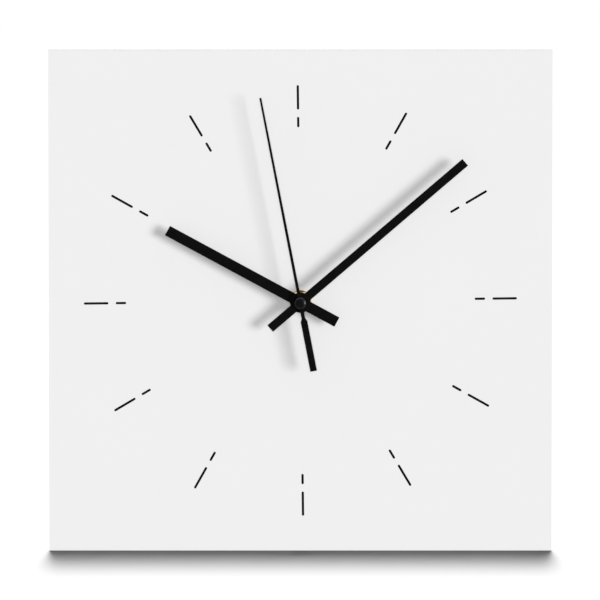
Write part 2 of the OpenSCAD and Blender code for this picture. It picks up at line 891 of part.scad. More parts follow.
module clutch_spring() color("goldenrod") stand() {
    arm_l = 3.4;
    arm_w = 1.2;
    top = clutch_z + clutch_t;
    difference() {
        union() {
            disc(spindle_at, seat_r + arm_w / 2, clutch_z, top);
            for (arm = [0:2])
                rotate(120 * arm)
                    box([0, -arm_w / 2, clutch_z], [arm_l, arm_w / 2, top]);
        }
        disc(spindle_at, seat_r, clutch_z - cut, top + cut);
    }
}

module minute_tube() color("gold") stand() {
    flange_r = seat_r + 0.95;
    difference() {
        union() {
            disc(spindle_at, flange_r, tube_foot_z, tube_foot_z + tube_flange_t);
            disc(spindle_at, seat_r, tube_foot_z, cannon_z);
            gear(spindle_at, cannon_teeth, motion_module, 0, second_arbor_r, cannon_z, cannon_z + cannon_h);
            disc(spindle_at, minute_tube_r, cannon_z, minute_end_z);
        }
        disc(spindle_at, second_arbor_r + run_gap, tube_foot_z - cut, minute_end_z + cut);
    }
}

module minute_wheel() color("white") stand() {
    at = minute_at;
    top = minute_wheel_z + wheel_t;
    disc(at, pivot_r, plate_z, floor_pivot_z);
    disc(at, arbor_r, plate_top_z + fit_gap, floor_z - floor_boss_h - fit_gap);
    gear(at, minute_pinion_teeth, hour_module, 0, pivot_r, top, hour_wheel_z + hour_disc_t + 2 * lap);
    wheel(at, minute_teeth, motion_module, minute_phase, pivot_r, minute_wheel_z, 4);
}

module hour_wheel() color("white") stand() {
    low = hour_wheel_z;
    top = low + hour_disc_t;
    difference() {
        union() {
            gear(spindle_at, hour_teeth, hour_module, hour_phase, minute_tube_r, low, top);
            disc(spindle_at, hour_tube_r, low, hour_end_z);
            disc(spindle_at, hour_tube_r + 1, top, floor_z - 2 * lap);
        }
        disc(spindle_at, minute_tube_r + run_gap, low - cut, hour_end_z + cut);
    }
}

module setting_knob() color("firebrick") stand() {
    at = setting_at;
    grips = 20;
    grip_r = 0.45;
    slit_w = 1.2;
    top = knob_z + knob_h;
    difference() {
        disc(at, knob_r, knob_z, top);
        for (i = [0:grips - 1])
            disc(at + polar(knob_r + fit_gap, i * 360 / grips), grip_r, knob_z - cut, top + cut);
        translate([at[0], at[1], knob_z])
            cube([slit_w, 2 * knob_r - 3, slit_w], center = true);
    }
    disc(at, stem_r, top, minute_wheel_z + wheel_t);
    disc(at, pivot_r, minute_wheel_z, floor_pivot_z);
}

module setting_pinion() color("white") stand() {
    low = minute_wheel_z - lap;
    top = minute_wheel_z + wheel_t + lap;
    collar_top = top + 0.8;
    difference() {
        union() {
            gear(setting_at, setting_teeth, motion_module, setting_phase, pivot_r, low, top);
            disc(setting_at, bearing_r, top, collar_top);
        }
        disc(setting_at, stem_r, low - cut, minute_wheel_z + wheel_t);
        disc(setting_at, pivot_r, low, collar_top + cut);
    }
}

// A straight hand with a round hub, pointing to 12 o'clock before it is turned
module straight_hand(length, tail, w, turn, hole_r, low) {
    translate([0, 0, low])
        rotate(-turn)
            linear_extrude(hand_t)
                difference() {
                    union() {
                        translate([-w / 2, -tail])
                            square([w, length + tail]);
                        circle(hand_hub_r);
                    }
                    circle(hole_r);
                }
}

// A bush under a hand: a collar, and a neck riveted in the hand's hole
module hand_bush(collar_r, neck_r, bore_r, low, shoulder, top) {
    difference() {
        union() {
            disc(spindle_at, collar_r, low, shoulder);
            disc(spindle_at, neck_r, shoulder, top);
        }
        disc(spindle_at, bore_r, low - cut, top + cut);
    }
}

module hour_hand() color([0.08, 0.08, 0.08]) stand() {
    straight_hand(mark_inner_r - hour_tip_gap, hour_tail, hour_w, hour_turn, hour_neck_r, hour_z);
}

module hour_hand_bush() color([0.1, 0.1, 0.1]) stand() {
    hand_bush(hour_neck_r + 0.8, hour_neck_r, hour_tube_r,
        hour_z - hour_collar_h, hour_z, hour_end_z);
}

module minute_hand() color([0.08, 0.08, 0.08]) stand() {
    straight_hand(mark_outer_r - minute_tip_gap, minute_tail, minute_w, minute_turn,
        minute_neck_r, minute_z);
}

module minute_hand_bush() color([0.1, 0.1, 0.1]) stand() {
    hand_bush(minute_neck_r + 0.7, minute_neck_r, minute_tube_r,
        minute_z - minute_collar_h, minute_z, minute_end_z);
}

module second_hand() color([0.08, 0.08, 0.08]) stand() {
    length = mark_outer_r - second_tip_gap;
    neck = second_root_w / 2 + 0.2;
    shoulder = weight_w / 2;
    slope = 2;
    translate([0, 0, second_z])
        rotate(-second_turn)
            linear_extrude(second_t)
                difference() {
                    union() {
                        polygon([
                            [second_tip_w / 2, length], [-second_tip_w / 2, length],
                            [-second_root_w / 2, 0], [-neck, 0], [-neck, -weight_start],
                            [-shoulder, -weight_start - slope], [-shoulder, -second_tail],
                            [shoulder, -second_tail], [shoulder, -weight_start - slope],
                            [neck, -weight_start], [neck, 0], [second_root_w / 2, 0]
                        ]);
                        circle(second_neck_r + 0.8);
                    }
                    circle(second_neck_r);
                }
}

module second_hand_tube() color("silver") stand() {
    hand_bush(second_neck_r + 0.3, second_neck_r, second_arbor_r,
        second_z - second_collar_h, second_z, second_end_z);
}

module second_hand_cap() color([0.08, 0.08, 0.08]) stand() {
    rim_h = 0.4;
    rise = cap_h - rim_h;
    ball_r = (cap_r * cap_r + rise * rise) / (2 * rise);
    translate([0, 0, second_end_z])
        rotate_extrude() {
            square([cap_r, rim_h]);
            intersection() {
                translate([0, cap_h - ball_r])
                    circle(ball_r);
                square([cap_r, cap_h + 1]);
            }
        }
}

front_panel();
backing_panel();
rubber_washer();
brass_washer();
hex_nut();
front_case();
rear_cover();
train_plate();
hanger();
circuit_board();
circuit_chip();
quartz_crystal();
coil_core();
coil_bobbin();
coil_winding();
stator();
positive_contact();
negative_contact();
battery_can();
battery_sleeve();
rotor_magnet();
rotor_pinion();
intermediate_wheel();
second_wheel();
third_wheel();
centre_wheel();
clutch_spring();
minute_tube();
minute_wheel();
hour_wheel();
setting_knob();
setting_pinion();
hour_hand();
hour_hand_bush();
minute_hand();
minute_hand_bush();
second_hand();
second_hand_tube();
second_hand_cap();
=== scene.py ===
import math

import bmesh
import bpy
from bpy.props import FloatProperty, FloatVectorProperty, IntProperty, PointerProperty
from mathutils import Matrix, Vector


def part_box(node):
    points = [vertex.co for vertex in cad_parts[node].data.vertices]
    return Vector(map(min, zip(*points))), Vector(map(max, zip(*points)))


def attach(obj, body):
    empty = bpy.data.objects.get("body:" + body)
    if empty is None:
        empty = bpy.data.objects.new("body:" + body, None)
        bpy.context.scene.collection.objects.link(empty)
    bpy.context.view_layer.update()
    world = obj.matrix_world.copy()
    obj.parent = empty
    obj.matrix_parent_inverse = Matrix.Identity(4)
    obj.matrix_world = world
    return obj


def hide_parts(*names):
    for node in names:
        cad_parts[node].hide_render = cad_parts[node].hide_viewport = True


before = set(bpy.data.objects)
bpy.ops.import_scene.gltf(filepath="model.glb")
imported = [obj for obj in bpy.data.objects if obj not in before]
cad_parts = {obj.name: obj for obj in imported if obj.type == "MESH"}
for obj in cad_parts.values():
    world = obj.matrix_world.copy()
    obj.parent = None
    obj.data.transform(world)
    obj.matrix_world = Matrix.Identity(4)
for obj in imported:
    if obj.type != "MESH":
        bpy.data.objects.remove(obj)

bl_info = {
    "name": "Square wall clock",
    "version": (1, 0, 0),
    "blender": (4, 5, 0),
    "location": "3D View > Sidebar > Clock",
    "description": "Makes the pieces, finishes and stage of a square white wall clock",
    "category": "Object",
}

MM = 0.001
WELD = 0.002 * MM  # points nearer to each other than this are one
FULL_TURN = 2 * math.pi
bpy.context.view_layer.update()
PANEL_LOW, PANEL_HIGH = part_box("front_panel")
SLEEVE_LOW, SLEEVE_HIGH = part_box("battery_sleeve")
KNOB_LOW, KNOB_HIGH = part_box("setting_knob")
COVER_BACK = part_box("rear_cover")[1].y


def linear(colour):
    """An sRGB hex colour as linear red, green, blue."""
    parts = [int(colour[i:i + 2], 16) / 255 for i in (0, 2, 4)]
    return tuple(p / 12.92 if p <= 0.04045 else ((p + 0.055) / 1.055) ** 2.4 for p in parts)


def opaque(colour):
    """A linear colour, or an sRGB hex one, with an alpha of 1 for a node's socket."""
    return (*(linear(colour) if isinstance(colour, str) else colour), 1)


# ---- sizes and colours that a user may change ----

class PanelSizes(bpy.types.PropertyGroup):
    """Sizes of the slotted front panel."""
    marks: IntProperty(name="Marks", description="Number of hour marks", default=12, min=1, max=60)
    ring_radius: FloatProperty(
        name="Ring radius", description="From the spindle to the outer end of a mark",
        default=129.1 * MM, unit="LENGTH")
    long_slot: FloatProperty(
        name="Long slot", description="Length of a mark's outer slot", default=14.6 * MM, unit="LENGTH")
    short_slot: FloatProperty(
        name="Short slot", description="Length of a mark's inner slot", default=6.2 * MM, unit="LENGTH")
    slot_gap: FloatProperty(
        name="Slot gap", description="Wood left between the two slots", default=4.4 * MM, unit="LENGTH")
    slot_width: FloatProperty(
        name="Slot width", description="Width of every slot", default=1.4 * MM, unit="LENGTH")
    ring_turn: FloatProperty(
        name="Ring turn", description="Anticlockwise turn of the ring of marks",
        default=math.radians(0.7), subtype="ANGLE")
    hole_radius: FloatProperty(
        name="Hole radius", description="Hole for the threaded sleeve", default=4.05 * MM, unit="LENGTH")
    edge_break: FloatProperty(
        name="Edge break", description="Rounding of the panel's outer edges",
        default=0.12 * MM, unit="LENGTH")
    slot_break: FloatProperty(
        name="Slot break", description="How much of that rounding the slots' front edges get",
        default=0.15, min=0, max=1)


class FinishColours(bpy.types.PropertyGroup):
    """Main colours of the clock."""
    lacquer: FloatVectorProperty(
        name="Lacquer", description="White lacquer of the panel", subtype="COLOR",
        default=linear("ebebeb"))
    hands: FloatVectorProperty(
        name="Hands", description="Satin black of the hands", subtype="COLOR",
        default=linear("070707"))
    brass: FloatVectorProperty(
        name="Brass", description="Turned brass of the washer and nut", subtype="COLOR",
        default=linear("c5ab73"))
    case: FloatVectorProperty(
        name="Case", description="Black of the movement case", subtype="COLOR",
        default=linear("1b1b1c"))
    knob: FloatVectorProperty(
        name="Knob", description="Red of the setting knob", subtype="COLOR",
        default=linear("a3201c"))
    film: FloatVectorProperty(
        name="Film", description="Shrink film round the battery", subtype="COLOR",
        default=linear("1f4f96"))


class StageSizes(bpy.types.PropertyGroup):
    """Camera and light."""
    lens: FloatProperty(name="Lens", description="Focal length in millimetres", default=600)
    distance: FloatProperty(
        name="Distance", description="From the camera to the panel's face", default=5.962, unit="LENGTH")
    elevation: FloatProperty(
        name="Elevation", description="Camera's height over the panel's axis",
        default=math.radians(6), subtype="ANGLE")
    shift: FloatVectorProperty(
        name="Shift", description="Camera's shift to the side and up, as a share of the frame", size=2,
        default=(-0.4 / 600, 0.9 / 600))
    key: FloatProperty(name="Key", description="Strength of the light from the right", default=2.05)
    key_angle: FloatProperty(
        name="Key angle", description="Key's turn away from the panel's normal",
        default=math.radians(45), subtype="ANGLE")
    key_spread: FloatProperty(
        name="Key spread", description="Angular size of the key", default=math.radians(22),
        subtype="ANGLE")
    front: FloatProperty(name="Front", description="Strength of the light from the front", default=1.16)
    back: FloatProperty(name="Back", description="Strength of the light from behind", default=1.9)
    fill: FloatProperty(name="Fill", description="Brightness of the room round the clock", default=0.23)
    fan: FloatProperty(
        name="Fan", description="Strength of the lights that only the floor gets", default=1.984)
    fan_lights: IntProperty(name="Fan lights", description="Number of those lights", default=8, min=1)
    fan_step: FloatProperty(
        name="Fan step", description="Angle between two of those lights",
        default=math.radians(3), subtype="ANGLE")


# ---- nodes ----

def add(tree, kind, inputs=(), **settings):
    """Adds one node to a tree, with its settings, and links or sets the inputs that are given."""
    made = tree.nodes.new(kind)
    for name, value in settings.items():
        setattr(made, name, value)
    for name, value in dict(inputs).items():
        if isinstance(value, bpy.types.NodeSocket):
            tree.links.new(value, made.inputs[name])
        else:
            made.inputs[name].default_value = value
    return made


def fresh(name, values):
    """A new material with plain values on its shader, its node tree, and its Object coordinates."""
    made = bpy.data.materials.new(name)
    made.use_nodes = True
    tree = made.node_tree
    for socket, value in values.items():
        tree.nodes["Principled BSDF"].inputs[socket].default_value = value
    return made, tree, add(tree, "ShaderNodeTexCoord").outputs["Object"]


def patches(tree, where, patch_mm, stretch, detail):
    """Random patches of a real size. Stretch makes them that many times narrower along each axis."""
    laid = add(tree, "ShaderNodeMapping", {"Vector": where, "Scale": stretch})
    return add(tree, "ShaderNodeTexNoise", {
        "Vector": laid.outputs[0], "Scale": 1 / (patch_mm * MM), "Detail": detail}).outputs["Fac"]


def mottle(tree, where, dark, light, patch_mm, stretch=(1, 1, 1)):
    """Colour that drifts between two shades."""
    spread = add(tree, "ShaderNodeMapRange", {
        "Value": patches(tree, where, patch_mm, stretch, detail=3), "From Min": 0.3, "From Max": 0.7})
    return add(tree, "ShaderNodeMix", {
        "Factor": spread.outputs[0], 6: opaque(dark), 7: opaque(light)}, data_type="RGBA").outputs[2]


def uneven(tree, where, low, high, patch_mm, stretch=(1, 1, 1)):
    """Roughness that drifts between two values."""
    return add(tree, "ShaderNodeMapRange", {
        "Value": patches(tree, where, patch_mm, stretch, detail=4), "From Min": 0.3, "From Max": 0.7,
        "To Min": low, "To Max": high}).outputs[0]


def grit(tree, where, grain_mm, depth_mm, stretch=(1, 1, 1), under=None):
    """Normal of a fine random relief, laid over another one if that is given."""
    inputs = {
        "Height": patches(tree, where, grain_mm, stretch, detail=2),
        "Distance": depth_mm * MM, "Strength": 1}
    if under:
        inputs["Normal"] = under
    return add(tree, "ShaderNodeBump", inputs).outputs["Normal"]


def wear(made, colour, roughness=None, normal=None):
    """Links patterns to a material's colour, roughness and normal, and hands the material back."""
    shader = made.node_tree.nodes["Principled BSDF"]
    for socket, value in (("Base Color", colour), ("Roughness", roughness), ("Normal", normal)):
        if value:
            made.node_tree.links.new(value, shader.inputs[socket])
    return made


def wave_scale(period_mm):
    """Scale of a wave texture whose bands repeat every so many millimetres."""
    repeat_at_scale_1 = FULL_TURN / 20
    return repeat_at_scale_1 / (period_mm * MM)


# ---- finishes ----

def colours():
    """The colours that the user can set."""
    return bpy.context.scene.clock_colours


def scaled(colour, factor):
    """A linear colour made that much darker or lighter."""
    return tuple(min(1, c * factor) for c in colour)


def white_lacquer(name):
    # Nitrocellulose lacquer sprayed on sanded fibreboard: an even satin white, with a
    # very shallow orange peel that only breaks up the gloss.
    made, tree, where = fresh(name, {"IOR": 1.5, "Specular IOR Level": 0.3})
    white = tuple(colours().lacquer)
    return wear(made,
                mottle(tree, where, scaled(white, 0.996), white, patch_mm=60),
                uneven(tree, where, 0.5, 0.58, patch_mm=5),
                grit(tree, where, grain_mm=1.6, depth_mm=0.004))


def scorched_board(name):
    # Fibreboard cut by laser: charred brown walls, with painted shade that darkens them from brown at the
    # face to near black deeper into the slot.
    made, tree, where = fresh(name, {"IOR": 1.45})
    depth = add(tree, "ShaderNodeSeparateXYZ", {0: where}).outputs["Y"]
    # painted shade: the walls get darker with depth into the slot, near black 1.2 mm behind the face
    painted_shade_inward = add(tree, "ShaderNodeMapRange", {
        "Value": depth, "From Min": PANEL_LOW.y, "From Max": PANEL_LOW.y + 1.2 * MM})
    shade = add(tree, "ShaderNodeMix", {
        "Factor": painted_shade_inward.outputs[0], 6: opaque("241d15"), 7: opaque("0b0907")}, data_type="RGBA")
    return wear(made,
                shade.outputs[2],
                uneven(tree, where, 0.7, 0.9, patch_mm=0.8),
                grit(tree, where, grain_mm=0.35, depth_mm=0.03))


def black_hardboard(name):
    # Hardboard painted black: smooth in front, and behind it keeps the weave of the wire
    # screen it was pressed on, squares about 2 mm apart.
    made, tree, where = fresh(name, {"IOR": 1.45, "Specular IOR Level": 0.35})
    threads = [
        add(tree, "ShaderNodeTexWave", {
            "Vector": where, "Scale": wave_scale(2), "Distortion": 0.6, "Detail": 1,
            "Detail Scale": 1.5},
            wave_type="BANDS", bands_direction=direction).outputs["Fac"]
        for direction in ("X", "Z")]
    screen = add(tree, "ShaderNodeMath", {0: threads[0], 1: threads[1]}, operation="MULTIPLY")
    pressed = add(tree, "ShaderNodeBump", {
        "Height": screen.outputs[0], "Distance": 0.22 * MM, "Strength": 1})
    return wear(made,
                mottle(tree, where, "151312", "24201d", patch_mm=9),
                uneven(tree, where, 0.55, 0.8, patch_mm=3),
                grit(tree, where, grain_mm=0.5, depth_mm=0.02, under=pressed.outputs["Normal"]))


def grey_rubber(name):
    # Punched nitrile rubber sheet: dull, with a faint talc bloom.
    made, tree, where = fresh(name, {"IOR": 1.52, "Specular IOR Level": 0.3})
    return wear(made,
                mottle(tree, where, "232324", "333334", patch_mm=2),
                uneven(tree, where, 0.8, 0.95, patch_mm=1),
                grit(tree, where, grain_mm=0.3, depth_mm=0.02))


def turned_brass(name):
    # Free-cutting brass from the lathe: fine rings round the spindle's axis and a
    # slightly tarnished straw colour. The rings are drawn 0.3 mm apart to show.
    made, tree, where = fresh(name, {"Metallic": 1})
    brass = tuple(colours().brass)
    rings = add(tree, "ShaderNodeTexWave", {
        "Vector": where, "Scale": wave_scale(0.3), "Distortion": 0.4},
        wave_type="RINGS", rings_direction="Y")
    cut = add(tree, "ShaderNodeBump", {
        "Height": rings.outputs["Fac"], "Distance": 0.006 * MM, "Strength": 1})
    return wear(made,
                mottle(tree, where, scaled(brass, 0.8), brass, patch_mm=2.5),
                uneven(tree, where, 0.24, 0.38, patch_mm=1.2),
                grit(tree, where, grain_mm=0.2, depth_mm=0.003, under=cut.outputs["Normal"]))


def moulded_black(name):
    # ABS from a spark-eroded mould: a fine even grain and a dull sheen.
    made, tree, where = fresh(name, {"IOR": 1.54})
    case = tuple(colours().case)
    return wear(made,
                mottle(tree, where, scaled(case, 0.85), scaled(case, 1.15), patch_mm=12),
                uneven(tree, where, 0.42, 0.56, patch_mm=1.5),
                grit(tree, where, grain_mm=0.3, depth_mm=0.022))


def polished_black(name):
    # ABS from a polished mould: black with a clear, slightly soft reflection.
    made, tree, where = fresh(name, {"IOR": 1.5, "Specular IOR Level": 0.35})
    return wear(made,
                mottle(tree, where, "090909", "0f0f0f", patch_mm=3),
                uneven(tree, where, 0.26, 0.32, patch_mm=1),
                grit(tree, where, grain_mm=0.8, depth_mm=0.003))


def satin_black(name):
    # Stove enamel on stamped aluminium: a satin black with hardly any orange peel.
    made, tree, where = fresh(name, {"IOR": 1.5, "Specular IOR Level": 0.16})
    black = tuple(colours().hands)
    return wear(made,
                mottle(tree, where, scaled(black, 0.85), scaled(black, 1.2), patch_mm=8),
                uneven(tree, where, 0.34, 0.42, patch_mm=3),
                grit(tree, where, grain_mm=0.9, depth_mm=0.004))


def plated_steel(name):
    # Rolled steel with a thin nickel plate: bright, with streaks along the rolling.
    made, tree, where = fresh(name, {"Metallic": 1})
    return wear(made,
                mottle(tree, where, "aaa89f", "cfccc4", patch_mm=4, stretch=(1, 8, 8)),
                uneven(tree, where, 0.2, 0.36, patch_mm=1, stretch=(1, 12, 12)),
                grit(tree, where, grain_mm=0.5, depth_mm=0.004, stretch=(1, 10, 10)))


def silicon_steel(name):
    # Stamped motor laminations: dull blue-grey from annealing.
    made, tree, where = fresh(name, {"Metallic": 1})
    return wear(made,
                mottle(tree, where, "6d7480", "8f949a", patch_mm=5),
                uneven(tree, where, 0.38, 0.55, patch_mm=1.5),
                grit(tree, where, grain_mm=0.4, depth_mm=0.006))


def green_mask(name):
    # Solder mask over a laminate: glossy green, with paler lines up the board, 5.6 mm apart,
    # where copper tracks lie under it.
    made, tree, where = fresh(name, {"IOR": 1.5, "Coat Weight": 0.4, "Coat Roughness": 0.15})
    tracks = add(tree, "ShaderNodeTexBrick", {
        "Vector": where, "Scale": 1 / (8 * MM), "Mortar Size": 0.03, "Brick Width": 0.7,
        "Row Height": 0.18, "Color1": opaque("0f4a27"), "Color2": opaque("11552c"),
        "Mortar": opaque("2c7a3c")})
    swell = add(tree, "ShaderNodeBump", {
        "Height": tracks.outputs["Fac"], "Distance": 0.03 * MM, "Strength": 1})
    return wear(made,
                tracks.outputs["Color"],
                uneven(tree, where, 0.25, 0.35, patch_mm=2),
                grit(tree, where, grain_mm=0.4, depth_mm=0.004, under=swell.outputs["Normal"]))


def black_epoxy(name):
    # Epoxy drop over the chip: it flowed and set, so it is glossy and slightly wavy.
    made, tree, where = fresh(name, {"IOR": 1.56})
    return wear(made,
                mottle(tree, where, "0a0a0a", "161514", patch_mm=1.5),
                uneven(tree, where, 0.12, 0.25, patch_mm=1),
                grit(tree, where, grain_mm=2, depth_mm=0.03))


def enamelled_copper(name):
    # Magnet wire: copper seen through clear reddish enamel.
    made, tree, where = fresh(name, {"Metallic": 1, "Coat Weight": 0.6, "Coat Roughness": 0.1})
    return wear(made,
                mottle(tree, where, "8e3f1b", "c06a34", patch_mm=1.5, stretch=(4, 1, 1)),
                uneven(tree, where, 0.22, 0.34, patch_mm=0.6),
                grit(tree, where, grain_mm=0.15, depth_mm=0.004))


def shrink_film(name):
    # Printed PVC film shrunk on the cell: glossy, two plain bands of colour, a little
    # wavy where it gripped.
    made, tree, where = fresh(name, {"IOR": 1.54, "Coat Weight": 0.5, "Coat Roughness": 0.08})
    film = tuple(colours().film)
    along = add(tree, "ShaderNodeSeparateXYZ", {0: where}).outputs["X"]
    # the gold band takes up 13 mm at the positive end
    band_end, blur = SLEEVE_LOW.x + 13 * MM, 0.05 * MM
    band = add(tree, "ShaderNodeMapRange", {
        "Value": along, "From Min": band_end - blur, "From Max": band_end + blur})
    shade = add(tree, "ShaderNodeMix", {
        "Factor": band.outputs[0], 6: opaque("c9a04a"),
        7: mottle(tree, where, scaled(film, 0.9), film, patch_mm=20)}, data_type="RGBA")
    return wear(made,
                shade.outputs[2],
                uneven(tree, where, 0.2, 0.3, patch_mm=6),
                grit(tree, where, grain_mm=3, depth_mm=0.02, stretch=(0.4, 1, 1)))


def sintered_ferrite(name):
    # Pressed and fired magnet powder: charcoal grey and finely porous.
    made, tree, where = fresh(name, {"IOR": 2.0})
    return wear(made,
                mottle(tree, where, "1d1d20", "303034", patch_mm=0.5),
                uneven(tree, where, 0.5, 0.7, patch_mm=0.4),
                grit(tree, where, grain_mm=0.12, depth_mm=0.012))


def white_acetal(name):
    # Moulded acetal: milky white and slightly waxy.
    made, tree, where = fresh(name, {
        "IOR": 1.48, "Subsurface Weight": 0.1, "Subsurface Scale": 0.5 * MM})
    return wear(made,
                mottle(tree, where, "dcdad0", "eceae2", patch_mm=3),
                uneven(tree, where, 0.35, 0.5, patch_mm=1.5),
                grit(tree, where, grain_mm=0.5, depth_mm=0.004))


def rolled_brass(name):
    # Sheet brass, pressed: warm yellow with straight rolling marks.
    made, tree, where = fresh(name, {"Metallic": 1})
    return wear(made,
                mottle(tree, where, "b08a3c", "d8b565", patch_mm=3, stretch=(1, 1, 9)),
                uneven(tree, where, 0.22, 0.36, patch_mm=1, stretch=(1, 1, 12)),
                grit(tree, where, grain_mm=0.3, depth_mm=0.004, stretch=(1, 1, 10)))


def red_knob(name):
    # Moulded ABS: a clear red with a soft gloss.
    made, tree, where = fresh(name, {"IOR": 1.54})
    red = tuple(colours().knob)
    return wear(made,
                mottle(tree, where, scaled(red, 0.85), scaled(red, 1.1), patch_mm=4),
                uneven(tree, where, 0.3, 0.42, patch_mm=1.2),
                grit(tree, where, grain_mm=0.35, depth_mm=0.012))


def ivory_nylon(name):
    # Moulded nylon: translucent ivory, dry to the touch.
    made, tree, where = fresh(name, {
        "IOR": 1.53, "Subsurface Weight": 0.15, "Subsurface Scale": 0.6 * MM})
    return wear(made,
                mottle(tree, where, "cfc4a4", "e3dabf", patch_mm=4),
                uneven(tree, where, 0.42, 0.56, patch_mm=1.5),
                grit(tree, where, grain_mm=0.4, depth_mm=0.008))


def finish(maker):
    """The material that a finish function makes, made once."""
    name = maker.__name__
    return bpy.data.materials.get(name) or maker(name)


# ---- meshes ----

def put(name, mesh):
    """A new object at the origin that holds a mesh."""
    made = bpy.data.objects.new(name, mesh)
    bpy.context.scene.collection.objects.link(made)
    return made


def settled(obj):
    """The object's mesh with its modifiers applied. The object is removed."""
    graph = bpy.context.evaluated_depsgraph_get()
    mesh = bpy.data.meshes.new_from_object(obj.evaluated_get(graph), depsgraph=graph)
    bpy.data.objects.remove(obj, do_unlink=True)
    return mesh


def piece(name, mesh, body, nodes=(), finishes=()):
    """Puts a finished mesh in the scene: it rides on a body and stands for CAD nodes."""
    made = put(name, mesh)
    if finishes:
        mesh.materials.clear()
        for maker in finishes:
            mesh.materials.append(finish(maker))
    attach(made, body)
    if nodes:
        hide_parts(*nodes)
    return made


def shaded(mesh, sharp_degrees=40):
    """The mesh shaded smooth, with its sharp edges kept and its large flat faces left flat."""
    mesh.polygons.foreach_set("use_smooth", [True] * len(mesh.polygons))
    mesh.set_sharp_from_angle(angle=math.radians(sharp_degrees))
    obj = put("shaded_work", mesh)
    even = obj.modifiers.new("Flat faces", "WEIGHTED_NORMAL")
    even.mode = "FACE_AREA"
    even.weight = 100
    even.keep_sharp = True
    return settled(obj)


def merged(node):
    """A clean copy of a CAD node's mesh: its triangles joined, its flat faces whole."""
    work = bmesh.new()
    work.from_mesh(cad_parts[node].data)
    bmesh.ops.remove_doubles(work, verts=work.verts, dist=WELD)
    bmesh.ops.dissolve_limit(work, angle_limit=math.radians(0.5), verts=work.verts, edges=work.edges)
    mesh = bpy.data.meshes.new(node)
    work.to_mesh(mesh)
    work.free()
    return mesh


def softened(node, width_mm):
    """A copy of a CAD node with its sharp edges rounded, as moulding or stamping leaves them."""
    obj = put(node + "_work", merged(node))
    edge = obj.modifiers.new("Broken edges", "BEVEL")
    edge.width = width_mm * MM
    edge.segments = 2
    edge.limit_method = "ANGLE"
    edge.angle_limit = math.radians(32)
    return shaded(settled(obj))


def turned(profile, centre, axis, steps=96):
    """A turned solid. Its profile lists radius and place, from axis to axis or round a ring's section."""
    work = bmesh.new()
    along = Vector((1, 0, 0)) if axis == "X" else Vector((0, 1, 0))
    out = Vector((0, 0, 1))
    loop = [work.verts.new(centre + out * r + along * t) for r, t in profile]
    edges = [work.edges.new((a, b)) for a, b in zip(loop, loop[1:])]
    if profile[0][0] > 0:
        edges.append(work.edges.new((loop[-1], loop[0])))
    bmesh.ops.spin(work, geom=loop + edges, axis=along, cent=centre, dvec=(0, 0, 0),
                   angle=FULL_TURN, steps=steps, use_merge=True)
    bmesh.ops.remove_doubles(work, verts=work.verts, dist=WELD)
    bmesh.ops.recalc_face_normals(work, faces=work.faces)
    mesh = bpy.data.meshes.new("turned")
    work.to_mesh(mesh)
    work.free()
    return shaded(mesh)


def prism(outlines, low_y, high_y):
    """A mesh of flat shapes, each a list of (x, z) points, with a thickness along Y."""
    work = bmesh.new()
    for outline in outlines:
        face = work.faces.new([work.verts.new((x, low_y, z)) for x, z in outline])
        grown = bmesh.ops.extrude_face_region(work, geom=[face])
        moved = [v for v in grown["geom"] if isinstance(v, bmesh.types.BMVert)]
        bmesh.ops.translate(work, verts=moved, vec=(0, high_y - low_y, 0))
    bmesh.ops.recalc_face_normals(work, faces=work.faces)
    mesh = bpy.data.meshes.new("prism")
    work.to_mesh(mesh)
    work.free()
    return mesh


def rectangle(x, z, w, h):
    """Outline of a rectangle round a centre, in metres from sizes in millimetres."""
    return [((x + i * w / 2) * MM, (z + j * h / 2) * MM)
            for i, j in ((-1, -1), (1, -1), (1, 1), (-1, 1))]


def plus_outline(x, z, arm, half):
    """Outline of a plus sign round a centre, in metres from sizes in millimetres."""
    corners = []
    for i, j in ((1, 1), (-1, 1), (-1, -1), (1, -1)):
        near = [(i * arm, j * half), (i * half, j * half), (i * half, j * arm)]
        corners += near if i * j > 0 else near[::-1]
    return [((x + a) * MM, (z + b) * MM) for a, b in corners]


def round_outline(x, z, r, count=32):
    """Outline of a circle round a centre, in metres from sizes in millimetres."""
    turns = [FULL_TURN * i / count for i in range(count)]
    return [((x + r * math.cos(t)) * MM, (z + r * math.sin(t)) * MM) for t in turns]


def bent_arrow(x, z, r, width, start, end):
    """Outline of an arrow along a circle, from one angle in degrees to another."""
    steps, head_degrees, head_half = 24, 16, 1.7 * width
    turns = [math.radians(start + (end - start) * i / steps) for i in range(steps + 1)]
    tip = math.radians(end + math.copysign(head_degrees, end - start))
    points = [(r + width / 2, t) for t in turns]
    points += [(r + head_half, turns[-1]), (r, tip), (r - head_half, turns[-1])]
    points += [(r - width / 2, t) for t in reversed(turns)]
    return [((x + d * math.cos(t)) * MM, (z + d * math.sin(t)) * MM) for d, t in points]


def engraved(mesh, cutter):
    """A mesh with another one's shape cut out of it."""
    obj, tool = put("engraved_work", mesh), put("cutter_work", cutter)
    cut = obj.modifiers.new("Engraving", "BOOLEAN")
    cut.operation, cut.solver, cut.object = "DIFFERENCE", "EXACT", tool
    result = settled(obj)
    bpy.data.objects.remove(tool, do_unlink=True)
    return result


# ---- geometry node trees ----

def node_object(name, inputs, build):
    """An object whose mesh a geometry tree makes. The tree's inputs are set by identifier."""
    tree = bpy.data.node_groups.new(name, "GeometryNodeTree")
    sockets = {
        label: tree.interface.new_socket(label, in_out="INPUT", socket_type=kind)
        for label, (kind, _) in inputs.items()}
    tree.interface.new_socket("Geometry", in_out="OUTPUT", socket_type="NodeSocketGeometry")
    given = tree.nodes.new("NodeGroupInput").outputs
    add(tree, "NodeGroupOutput", {"Geometry": build(tree, given)})
    made = put(name, bpy.data.meshes.new(name))
    modifier = made.modifiers.new(name, "NODES")
    modifier.node_group = tree
    for label, socket in sockets.items():
        modifier[socket.identifier] = inputs[label][1]
    return made


